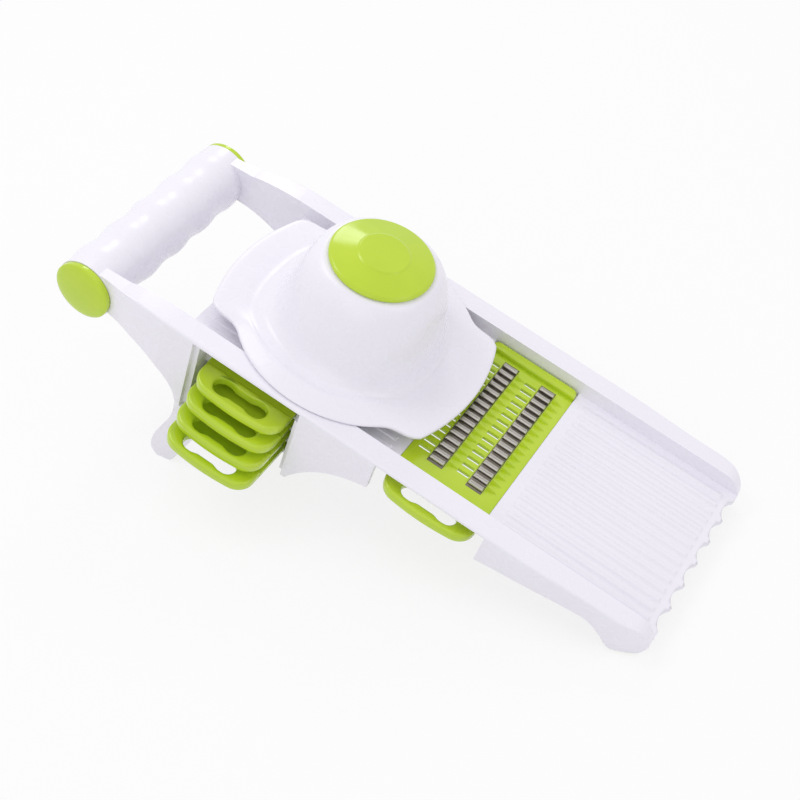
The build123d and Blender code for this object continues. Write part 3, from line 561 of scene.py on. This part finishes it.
class SLICER_OT_holder(bpy.types.Operator):
    """Raise the bell of the food holder and turn its knob"""

    bl_idname = "slicer.holder"
    bl_label = "Food holder"

    def execute(self, context):
        group = context.scene.slicer_holder
        brim, reach, half, thick, roll, wall, knob = sizes(
            group, "brim", "reach", "half", "thickness", "roll", "wall", "knob")
        centre = Vector((HOLDER_U, 0, 0))
        brim_low, skirt_low, foot_step = 8.3, 3.5, 0.1
        brim_top = brim_low + thick
        # Lobes: bow of their ends and extra reach at the rear. Brim: rise of its crest at the rails, the
        # height and length in which the bell's foot rises with it, and the share where it rolls down
        drop, rear_reach, crest, crest_top, crest_length, roll_start = 8.5, 1.5, 2.6, 14.0, 4.0, 0.25
        # The bell's waist, and how much of its flare under that height is missing at the front
        waist, waist_w, flare_loss = 38.5, 21.0, 0.6
        # Corners between lobe end, lobe side and brim
        lobe_round, brim_round = 9.0, 5.0
        # Sine from which a direction counts as towards a rail, cosine for the front, and their spans
        side_from, side_span, front_from, front_span = 0.55, 0.3, 0.1, 0.6
        # Least sine or cosine that divides a length, and least bow
        least, least_bow = 1e-3, 1e-9
        # Collar that guides the stem, in the roof of the bell
        collar_low, collar_out, collar_in, circle = 46.0, 12.3, 9.3, 2.0
        # Height, half width and squareness of the bell, from the knob down to the brim
        bell = [(55.0, 24.0, 2.1), (54.0, 27.6, 2.15), (47.5, 32.0, 2.2), (36.0, 35.5, 2.25),
                (20.0, 38.9, 2.33), (14.0, 42.6, 2.42), (brim_top + foot_step, 47.8, 2.5)]
        outer = through([Vector(point) for point in bell], 5)
        inner = [Vector((max(w - wall / 2, brim_low), r - wall, n)) for w, r, n in reversed(outer[2:])]
        # Rings of the shell: height, half width and squareness, share of the way over the brim, depth
        stations = [(point, 0.0, 0.0) for point in outer]
        base, square = bell[-1][1:]
        foot = Vector((brim_top, base, square))
        # Share of the way over the brim, and depth under its top: outwards, round the rim, and back
        over = [(0.12, 0), (0.25, 0), (0.4, 0), (0.55, 0), (0.7, 0), (0.82, 0), (0.9, 0)]
        rim = [(0.955, 0.12), (0.985, 0.45), (1.0, 0.95), (1.0, 1.7), (0.985, 2.2), (0.95, 2.5)]
        under = [(0.5, thick), (0.02, thick)]
        stations += [(foot, share, depth) for share, depth in over + rim + under]
        inside = [(skirt_low, base, square), (skirt_low, base - wall, square), *inner,
                  (collar_low, collar_out, circle), (collar_low, collar_in, circle),
                  (bell[0][0], collar_in, circle), bell[0]]
        stations += [(Vector(point), 0.0, 0.0) for point in inside]
        bm = bmesh.new()
        level = [bm.verts.new(centre + Vector((1 + n, 0, 0))) for n in range(len(stations))]
        lines = [bm.edges.new(pair) for pair in zip(level, level[1:])]
        steps = 144
        bmesh.ops.spin(bm, geom=level + lines, cent=centre, axis=(0, 0, 1), angle=math.tau, steps=steps,
                       use_merge=True)
        for vert in bm.verts:
            flat = vert.co - centre
            (w, r, n), share, depth = stations[round(flat.length) - 1]
            cosine, sine = flat.normalized().x, flat.normalized().y
            side = smooth_step((abs(sine) - side_from) / side_span)
            front = smooth_step((cosine - front_from) / front_span)
            flare = max(r - waist, 0.0) if w < waist_w else 0.0
            radius = (r - flare_loss * front * flare) * (abs(cosine) ** n + abs(sine) ** n) ** (-1 / n)
            if brim_low < w < crest_top and not share:
                w += crest * side * (crest_top - w) / crest_length
            if share:
                far = reach + (rear_reach if cosine < 0 else 0.0)
                bow = drop * (sine / max(abs(cosine), least) / half) ** 2 + least_bow
                end = (math.sqrt(1 + 4 * bow * far) - 1) / (2 * bow) / max(abs(cosine), least)
                lobe = blended(end, half / max(abs(sine), least), lobe_round)
                edge = -blended(-brim, -lobe, brim_round)
                radius += (edge - radius) * share
                w += crest * side * (1 - depth / thick)
                rolled = side * max(share - roll_start, 0.0) / (1 - roll_start)
                w -= depth + (roll + crest) * rolled * (1 - depth / thick)
            vert.co = centre + Vector((radius * cosine, radius * sine, w))
        bmesh.ops.remove_doubles(bm, verts=bm.verts, dist=SEAM)
        add_piece(context, "bell_holder", bm, ["holder_shell"], crease=50.0)

        # Knob: height of its underside, rise and radius of its flat, its skirt, and the boss on the stem
        low, rise, flat, skirt, step, boss, boss_depth = 55.3, 5.3, 11.8, 1.7, 0.5, 9.0, 0.4
        shoulder, broad, soft, fine = 1.0, 0.9, 0.5, 0.4
        profile = softened([
            (0, low + rise, 0), (flat, low + rise, broad), (flat + broad, low + rise - step, soft),
            (knob - shoulder, low + skirt + soft, broad), (knob, low + skirt - fine, soft),
            (knob, low, fine), (boss, low, fine), (boss, low - boss_depth, 0),
            (0, low - boss_depth, 0)], 4, closed=False)
        bm = bmesh.new()
        turn(bm, [centre + Vector((r, 0, w)) for r, w in profile], centre, (0, 0, 1))
        add_piece(context, "bevelled_knob", bm, ["plunger_knob"], crease=50.0)
        return {"FINISHED"}


def insert_frame(bm, group, windows, wells=()):
    """The lime frame that all inserts share: a looped handle, a flat plate and a far lip."""
    width, thick, far, rim, root, edge, lip = sizes(
        group, "width", "thickness", "far", "rim", "root", "edge", "lip")
    half = width / 2
    # Far lip with its groove, whose floor is tucked into plate and lip
    lip_width, lip_corner, lip_round, groove, groove_depth, tuck = 5.6, 3.2, 2.1, 2.0, 0.9, 1
    # Skin over the wells, the lap of the part under it, and what the plate is wider by than the handle
    # at each side
    skin, lap, overlap = 1.9, 0.1, 0.2
    sharp, soft, fine = 0.05, 0.2, 0.3
    groove_start = far - lip_width - groove
    plate = rectangle(-half - overlap, half + overlap, -root, groove_start)
    slab(bm, -skin, 0, (sharp, soft), plate, windows, 2)
    slab(bm, -thick, -skin + lap, (fine, sharp), plate, wells or windows, 2)
    floor = rectangle(-half, half, groove_start - tuck, far - tuck)
    slab(bm, -thick, -groove_depth, (fine, fine), floor, (), 2)
    corners = [(-half, far - lip_width, 0), (half, far - lip_width, 0),
               (half, far, lip_corner), (-half, far, lip_corner)]
    slab(bm, -thick, lip, (fine, lip_round), softened(corners), (), 5)
    # Handle: it starts just inside the plate's end, and its rim is bowed
    sag, bulge, bow, bend_round, inside = 2.6, 0.05, 110.0, 9.5, 0.3
    bend, seat = rim - sag, -root + inside
    loop = softened([(-half, seat, 0), (-half, -bend, bend_round), (0, -rim - bulge, bow),
                     (half, -bend, bend_round), (half, seat, 0)], 8)
    handle_low, handle_top, handle_round = -4.0, 1.0, 0.5
    # Its hole is shaped like a bone: each quarter has an end, a knuckle and a neck
    hole_v, end, wide, waist, knuckle, neck = -57.5, 14.5, 4.8, 3.7, 7.6, 4.4
    quarter = [(end, wide, 4.6), (knuckle, wide, 4.0), (neck, waist, 5.0)]
    bone = [(-x, -y, r) for x, y, r in quarter] + [(x, -y, r) for x, y, r in reversed(quarter)]
    bone += [(x, y, r) for x, y, r in quarter] + [(-x, y, r) for x, y, r in reversed(quarter)]
    hole = softened([(x, y + hole_v, r) for x, y, r in bone], 5)
    slab(bm, handle_low, handle_top, (handle_round, edge), loop, [hole], 4)


# Middle of the combs across the deck, and half their length
COMB_SHIFT = 2.0
COMB_REACH = 39.0


def strip(rear, front):
    """Outline of a strip as long as a comb."""
    return rectangle(rear, front, COMB_SHIFT - COMB_REACH, COMB_SHIFT + COMB_REACH)


def comb(bm, row, width, ridges, pitch, ridge, rise):
    """Steel strip with a row of pressed, round-backed ridges, and shade painted into its valleys as darker
    steel.
    """
    sheet_low, sheet_top, ridge_foot, fine, margin, valley = -0.6, 0.05, -0.3, 0.05, 0.1, 0.4
    # Rounding of a ridge's ends, and of its back as a share of its width
    end_round, back_share = 0.5, 0.42
    slab(bm, sheet_low, sheet_top, (fine, fine), strip(row - width / 2, row + width / 2), (), 1)
    for n in range(ridges):
        spot = COMB_SHIFT + (n - (ridges - 1) / 2) * pitch
        bar = rectangle(row - width / 2 + margin, row + width / 2 - margin,
                        spot - ridge / 2, spot + ridge / 2, end_round)
        slab(bm, ridge_foot, rise, (fine, min(ridge * back_share, rise)), bar, (), 4)
    # Faces low in the valleys get the darker steel, which paints the shade there
    for face in bm.faces:
        face.material_index = 0 if face.calc_center_median().z > valley else 1


class SLICER_OT_julienne(bpy.types.Operator):
    """Mould the julienne frame and press its two combs"""

    bl_idname = "slicer.julienne"
    bl_label = "Julienne insert"

    def execute(self, context):
        group = context.scene.slicer_insert
        bay, = sizes(group, "bay")
        rows = {"julienne_comb_rear": -9.7, "julienne_comb_front": 11.5}
        width, pitch, ridges, ridge, rise = 8.3, 4.85, 16, 2.7, 1.7
        # Slots behind each comb, over one well, and spikes in front of it
        slot_gap, slot_length, slot_half, slot_round, well = 0.75, 6.3, 1.0, 0.3, 7.4
        spike_gap, spike_half, spike_length, spike_height = 0.5, 1.5, 5.8, 2.4
        # Heights of a spike's foot and toe, how far in its tip stands, and the tip's half width
        foot, toe, tip_in, tip_half = -0.2, -0.1, 0.3, 0.2
        windows, wells, spikes = [], [], []
        for row in rows.values():
            rear, front = row - width / 2, row + width / 2
            windows.append(strip(rear, front))
            wells.append(strip(rear - well, front))
            for n in range(ridges - 1):
                spot = COMB_SHIFT + (n - (ridges - 2) / 2) * pitch
                slot_end = rear - slot_gap
                windows.append(rectangle(slot_end - slot_length, slot_end,
                                         spot - slot_half, spot + slot_half, slot_round, 2))
                spikes.append((front + spike_gap, spot))
        bm = bmesh.new()
        insert_frame(bm, group, windows, wells)
        for start, spot in spikes:
            points = ((start, spot - spike_half, foot), (start, spot + spike_half, foot),
                      (start + spike_length, spot, toe),
                      (start + tip_in, spot - tip_half, spike_height),
                      (start + tip_in, spot + tip_half, spike_height))
            bmesh.ops.convex_hull(bm, input=[bm.verts.new(point) for point in points])
        bmesh.ops.translate(bm, vec=(bay, 0, 0), verts=bm.verts)
        add_piece(context, "julienne_plate", bm, ["julienne_frame"])
        for node, row in rows.items():
            bm = bmesh.new()
            comb(bm, row, width, ridges, pitch, ridge, rise)
            bmesh.ops.translate(bm, vec=(bay, 0, 0), verts=bm.verts)
            # Its second slot is the darker steel that paints shade into the valleys
            add_piece(context, node.replace("comb", "ridges"), bm, [node], crease=50.0,
                      extra=["valley_shade_steel"])
        return {"FINISHED"}


class SLICER_OT_rack(bpy.types.Operator):
    """Mould the frames of the four stored inserts and press the shredder's comb"""

    bl_idname = "slicer.rack"
    bl_label = "Stored inserts"

    def execute(self, context):
        group = context.scene.slicer_insert
        rack, top, pitch, pull, step = sizes(group, "rack", "top", "pitch", "pull", "step")
        # Comb of the shredder, and the window over the grater's sheet
        shred_width, shred_ridges, shred_pitch, shred_ridge, shred_rise = 15.0, 9, 8.4, 5.0, 2.3
        sheet_half, sheet_reach = 17.0, 41.0
        # Gap for the slice in front of a blade's edge, and the raised seat of the straight blade
        gap_rear, gap_front, gap_reach, corner = -6.0, 3.0, 39.0, 0.5
        seat_front, seat_reach, seat_low, seat_top, seat_edges = 15.0, 42.0, -0.5, 0.78, (0.05, 0.3)
        gap = rectangle(gap_rear, gap_front, -gap_reach, gap_reach, corner)
        seat = rectangle(gap_front, seat_front, -seat_reach, seat_reach, corner)
        shred = strip(-shred_width / 2, shred_width / 2)
        sheet = rectangle(-sheet_half, sheet_half, COMB_SHIFT - sheet_reach, COMB_SHIFT + sheet_reach)
        kinds = (("slicer", gap), ("wavy", gap), ("shredder", shred), ("grater", sheet))
        places = {}
        for n, (kind, window) in enumerate(kinds):
            places[kind] = Vector((rack, -pull - n * step, top - n * pitch))
            bm = bmesh.new()
            insert_frame(bm, group, [window])
            if kind == "slicer":
                slab(bm, seat_low, seat_top, seat_edges, seat, (), 2)
            bmesh.ops.translate(bm, vec=places[kind], verts=bm.verts)
            add_piece(context, f"{kind}_plate", bm, [f"{kind}_frame"])
        bm = bmesh.new()
        comb(bm, 0.0, shred_width, shred_ridges, shred_pitch, shred_ridge, shred_rise)
        bmesh.ops.translate(bm, vec=places["shredder"], verts=bm.verts)
        # Its second slot is the darker steel that paints shade into the valleys
        add_piece(context, "shredder_ridges", bm, ["shredder_comb"], crease=50.0, extra=["valley_shade_steel"])
        return {"FINISHED"}


class SLICER_OT_finish(bpy.types.Operator):
    """Give the carried-over CAD nodes their finish"""

    bl_idname = "slicer.finish"
    bl_label = "Finishes"

    def execute(self, context):
        for row in frame["record"]["subparts"]:
            piece = frame["nodes"][row["node"]]
            piece.data.materials.clear()
            piece.data.materials.append(material_for(row["material_slot"], context.scene.slicer_colours))
        return {"FINISHED"}


def backdrop_rays(tree):
    """Socket that is 1 where the camera, a gloss or a clear surface looks at the backdrop."""
    path = add_node(tree, "ShaderNodeLightPath")
    seen = path.outputs["Is Camera Ray"]
    for ray in ("Is Glossy Ray", "Is Transmission Ray"):
        seen = add_node(tree, "ShaderNodeMath", {"operation": "MAXIMUM"},
                        {0: seen, 1: path.outputs[ray]}).outputs[0]
    return seen


class SLICER_OT_stage(bpy.types.Operator):
    """Set up the white floor, the soft lights and the camera"""

    bl_idname = "slicer.stage"
    bl_label = "Stage"

    def execute(self, context):
        scene = context.scene
        stage = scene.slicer_stage
        bm = bmesh.new()
        floor_half, floor_glow, fill_strength = 4.0, 0.8, 0.76
        bmesh.ops.create_grid(bm, x_segments=1, y_segments=1, size=floor_half)
        mesh = bpy.data.meshes.new("floor")
        bm.to_mesh(mesh)
        bm.free()
        floor = bpy.data.objects.new("floor", mesh)
        scene.collection.objects.link(floor)
        material = bpy.data.materials.new("white_paper_floor")
        material.use_nodes = True
        tree = material.node_tree
        tree.nodes.clear()
        share = add_node(tree, "ShaderNodeMath", {"operation": "MULTIPLY"},
                         {0: backdrop_rays(tree), 1: floor_glow})
        paper = add_node(tree, "ShaderNodeBsdfDiffuse", (), {"Color": (0.9, 0.9, 0.9, 1)})
        glow = add_node(tree, "ShaderNodeEmission", (), {"Color": (1, 1, 1, 1), "Strength": 1.0})
        mix = add_node(tree, "ShaderNodeMixShader", (),
                       {0: share.outputs[0], 1: paper.outputs[0], 2: glow.outputs[0]})
        add_node(tree, "ShaderNodeOutputMaterial", (), {"Surface": mix.outputs[0]})
        floor.data.materials.append(material)

        world = bpy.data.worlds.new("studio")
        scene.world = world
        world.use_nodes = True
        tree = world.node_tree
        tree.nodes.clear()
        fill = add_node(tree, "ShaderNodeBackground", (),
                        {"Color": (0.99, 0.975, 1.0, 1), "Strength": fill_strength})
        white = add_node(tree, "ShaderNodeBackground", (), {"Color": (1, 1, 1, 1), "Strength": 1.0})
        mix = add_node(tree, "ShaderNodeMixShader", (),
                       {0: backdrop_rays(tree), 1: fill.outputs[0], 2: white.outputs[0]})
        add_node(tree, "ShaderNodeOutputWorld", (), {"Surface": mix.outputs[0]})

        # Lamps: place and size in metres, and power
        for name, spot, size, watts in (("key", (-0.5, -0.1, 0.95), 0.5, stage.key),
                                        ("rim", (-0.4, 0.76, 0.84), 0.3, stage.rim),
                                        ("front", (0.2, -1.1, 0.6), 0.9, stage.front),
                                        ("side", (0.95, 0.1, 0.7), 0.6, stage.side)):
            light = bpy.data.lights.new(name, "AREA")
            light.size = size
            light.energy = watts
            lamp = bpy.data.objects.new(name, light)
            lamp.location = spot
            lamp.rotation_euler = (-Vector(spot)).to_track_quat("-Z", "Y").to_euler()
            scene.collection.objects.link(lamp)

        camera = bpy.data.objects.new("camera", bpy.data.cameras.new("camera"))
        scene.collection.objects.link(camera)
        a, e = stage.azimuth, stage.elevation
        back = Vector((math.sin(a) * math.cos(e), -math.cos(a) * math.cos(e), math.sin(e)))
        camera.location = DECK @ (Vector(stage.target) / MM) + back * stage.distance
        camera.rotation_euler = (-back).to_track_quat("-Z", "Y").to_euler()
        camera.data.lens = stage.lens
        camera.data.sensor_width = 36.0
        scene.camera = camera
        scene.view_settings.view_transform = "Standard"
        return {"FINISHED"}


class SLICER_PT_panel(bpy.types.Panel):
    """Lists the slicer's operators and their values"""

    bl_idname = "SLICER_PT_panel"
    bl_label = "Mandoline slicer"
    bl_space_type = "VIEW_3D"
    bl_region_type = "UI"
    bl_category = "Slicer"

    def draw(self, context):
        for operator in OPERATORS:
            self.layout.operator(operator.bl_idname)
        for name, kind in GROUPS.items():
            box = self.layout.box()
            box.label(text=kind.__doc__)
            for key in kind.__annotations__:
                box.prop(getattr(context.scene, name), key)


GROUPS = {
    "slicer_colours": SlicerColours,
    "slicer_body": SlicerBody,
    "slicer_grip": SlicerGrip,
    "slicer_holder": SlicerHolder,
    "slicer_insert": SlicerInsert,
    "slicer_stage": SlicerStage,
}
OPERATORS = (SLICER_OT_finish, SLICER_OT_body, SLICER_OT_grip, SLICER_OT_holder, SLICER_OT_julienne,
             SLICER_OT_rack, SLICER_OT_stage)
CLASSES = (*GROUPS.values(), *OPERATORS, SLICER_PT_panel)


def register():
    for cls in CLASSES:
        bpy.utils.register_class(cls)
    for name, kind in GROUPS.items():
        setattr(bpy.types.Scene, name, PointerProperty(type=kind))


def unregister():
    for name in GROUPS:
        delattr(bpy.types.Scene, name)
    for cls in reversed(CLASSES):
        bpy.utils.unregister_class(cls)


def main():
    register()
    bpy.ops.slicer.finish()
    bpy.ops.slicer.body()
    bpy.ops.slicer.grip()
    bpy.ops.slicer.holder()
    bpy.ops.slicer.julienne()
    bpy.ops.slicer.rack()
    bpy.ops.slicer.stage()


if __name__ == "__main__":
    main()
